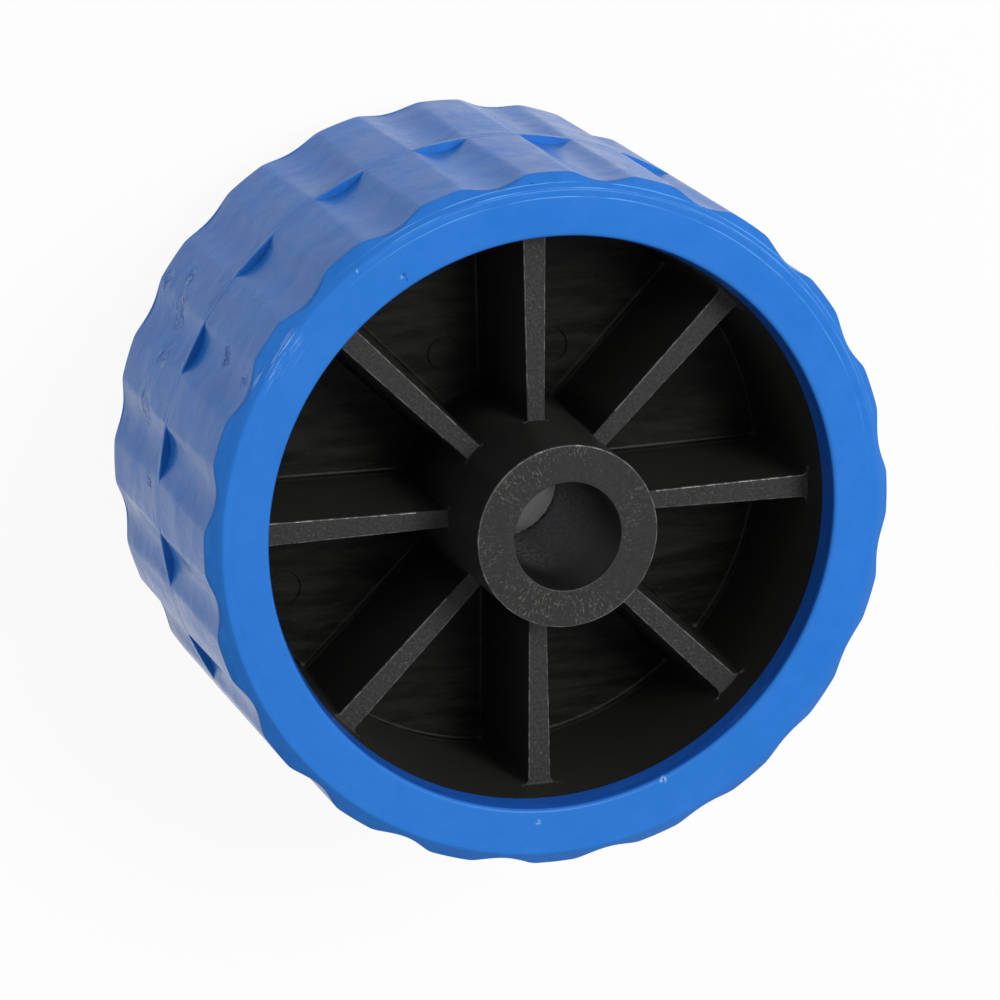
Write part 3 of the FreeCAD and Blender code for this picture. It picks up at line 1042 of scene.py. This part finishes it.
def edge_material():
    """The rounded edges of the ribs and the boss are rubbed bright in places, a colour that partly stands in
    for painted glints.
    """
    edge = Surface("edge_plastic")
    rubbed = edge.ramp(edge.noise(520, detail=4, roughness=0.65), 0.42, 0.6)
    # Rubbed places, painted bright partly as glints.
    colour = edge.mix(rubbed, EDGE_DARK, EDGE_RUBBED_GLINT)
    dull = edge.ramp(rubbed, 0, 1, EDGE_ROUGHNESS, RUBBED_ROUGHNESS)
    relief = edge.bump(edge.noise(1400, detail=3, roughness=0.6), EDGE_RELIEF)
    return edge.finish(colour, EDGE_SPECULAR, dull, relief)


def bore_material():
    """The bore was moulded on a polished pin, so it shines, with rubbed streaks near its step painted far
    lighter, as the light coming through its far end.
    """
    bore = RoundSurface("bore_plastic")
    step = MIDDLE + BOSS_END - BORE_STEP
    patches = bore.ring_noise(bore.z, round_scale=16, along_scale=1100, detail=4, roughness=0.65)
    # Rubbed streaks near the step, painted light for the light coming through the bore's far end.
    light_patch = bore.product(
        bore.ramp(patches, 0.36, 0.62),
        bore.ramp(bore.z, step + LIGHT_PATCH_REACH, step),
        bore.ramp(bore.z, step - 0.2 * MM, step),
        bore.ramp(bore.facing(*LIGHT_PATCH_TOWARDS), 0.2, 0.85),
    )
    colour = bore.mix(bore.noise(300, detail=4), BORE_DARK, BORE_LIGHT)
    colour = bore.mix(bore.product(light_patch, LIGHT_PATCH_STRENGTH), colour, BORE_PAINTED_LIGHT)
    dull = bore.ramp(bore.z, step - 1 * MM, step + 1 * MM, FAR_ROUGHNESS, NEAR_ROUGHNESS)
    dull = bore.math("ADD", dull, bore.product(light_patch, LIGHT_PATCH_ROUGHNESS))
    relief = bore.bump(bore.noise(500, detail=4), BORE_RELIEF)
    return bore.finish(colour, BORE_SPECULAR, dull, relief)


# The hub's materials, as numbers in the order in which it gets them.
BODY, IN_BORE, ON_EDGE = range(3)


def hub_material_of(polygon, mesh):
    """Which material a face of the hub has: the bore's under its edges, a rounded edge's, or the body's."""
    reach = max(math.hypot(mesh.vertices[i].co.x, mesh.vertices[i].co.y) for i in polygon.vertices)
    if reach < FAR_BORE + 0.01 * MM:
        return IN_BORE
    wear = min(mesh.attributes["edge"].data[i].value for i in polygon.vertices)
    return ON_EDGE if wear > 0.5 else BODY


def dress(piece, node, materials):
    for material in materials:
        piece.data.materials.append(material)
    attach(piece, "root")
    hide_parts(node)


# Surroundings

# The camera's place and its right and up directions, as fitted to the photo.
CAMERA_PLACE = Vector((-295.53, 274.82, 1019.16)) * MM
CAMERA_RIGHT = Vector((0.95582, -0.01082, 0.29376))
CAMERA_UP = Vector((0.08775, 0.96426, -0.25001))
CAMERA_LENS = 202.8
SENSOR_WIDTH = 36
NEAREST_SEEN = 0.01
FLOOR_SIZE = 12
FLOOR_GREY = (0.7, 0.7, 0.7, 1)
FLOOR_ROUGHNESS = 0.9
WHITE = (1, 1, 1, 1)
FLOOR_WHITE_SHARE = 0.93
WORLD_WHITE_SHARE = 1
WORLD_LIGHT = 0.45
SEEN_WHITE = ("Is Camera Ray", "Is Glossy Ray", "Is Transmission Ray")
KEY_DIRECTION = (0.31, 0.29, 0.91)
KEY_DISTANCE = 1.15
KEY_SIZE = 0.4
KEY_POWER = 10.3


def make_camera():
    data = bpy.data.cameras.new("camera")
    data.lens = CAMERA_LENS
    data.sensor_width = SENSOR_WIDTH
    data.clip_start = NEAREST_SEEN
    camera = bpy.data.objects.new("camera", data)
    right = CAMERA_RIGHT.normalized()
    back = right.cross(CAMERA_UP).normalized()
    up = back.cross(right)
    turn = Matrix((right, up, back)).transposed()
    camera.matrix_world = Matrix.Translation(CAMERA_PLACE) @ turn.to_4x4()
    bpy.context.scene.collection.objects.link(camera)
    bpy.context.scene.camera = camera


def show_white(nodes, shader, white_kind, share, output):
    """Puts white in the shader's place, by a share, for the camera and in reflections."""
    white = nodes.add(white_kind)
    white.inputs["Color"].default_value = WHITE
    white.inputs["Strength"].default_value = 1
    path = nodes.add("ShaderNodeLightPath")
    seen = nodes.product(nodes.most(*[path.outputs[ray] for ray in SEEN_WHITE]), share)
    mixed = nodes.link_all((seen, shader.outputs[0], white.outputs[0]), nodes.add("ShaderNodeMixShader"))
    nodes.link(mixed, nodes.tree.nodes[output].inputs["Surface"])


def floor_material():
    """Pale grey for the light in the scene, and nearly white where it's seen."""
    material = bpy.data.materials.new("floor_white")
    material.use_nodes = True
    nodes = Nodes(material.node_tree)
    shader = nodes.tree.nodes["Principled BSDF"]
    shader.inputs["Base Color"].default_value = FLOOR_GREY
    shader.inputs["Roughness"].default_value = FLOOR_ROUGHNESS
    show_white(nodes, shader, "ShaderNodeEmission", FLOOR_WHITE_SHARE, "Material Output")
    return material


def make_floor():
    mesh = bpy.data.meshes.new("floor")
    half = FLOOR_SIZE / 2
    corners = [(-half, -half, 0), (half, -half, 0), (half, half, 0), (-half, half, 0)]
    mesh.from_pydata(corners, [], [(0, 1, 2, 3)])
    mesh.materials.append(floor_material())
    floor = bpy.data.objects.new("floor", mesh)
    bpy.context.scene.collection.objects.link(floor)


def make_world():
    """Soft light from all sides, and plain white where it's seen."""
    world = bpy.data.worlds.new("studio")
    bpy.context.scene.world = world
    world.use_nodes = True
    nodes = Nodes(world.node_tree)
    background = nodes.tree.nodes["Background"]
    background.inputs["Color"].default_value = WHITE
    background.inputs["Strength"].default_value = WORLD_LIGHT
    show_white(nodes, background, "ShaderNodeBackground", WORLD_WHITE_SHARE, "World Output")


def make_lamp(name, direction, distance, size, power):
    """A square lamp that looks at the roller's middle."""
    data = bpy.data.lights.new(name, "AREA")
    data.size = size
    data.energy = power
    lamp = bpy.data.objects.new(name, data)
    away = Vector(direction).normalized()
    lamp.location = Vector((0, 0, MIDDLE)) + away * distance
    lamp.rotation_mode = "QUATERNION"
    lamp.rotation_quaternion = away.to_track_quat("Z", "Y")
    bpy.context.scene.collection.objects.link(lamp)


make_camera()
make_world()
make_floor()
make_lamp("key", KEY_DIRECTION, KEY_DISTANCE, KEY_SIZE, KEY_POWER)
dress(make_tyre(), "tyre", [rubber_material()])
hub_piece = make_hub()
dress(hub_piece, "hub", [plastic_material(), bore_material(), edge_material()])
for hub_face in hub_piece.data.polygons:
    hub_face.material_index = hub_material_of(hub_face, hub_piece.data)
bpy.context.scene.view_settings.view_transform = "Standard"
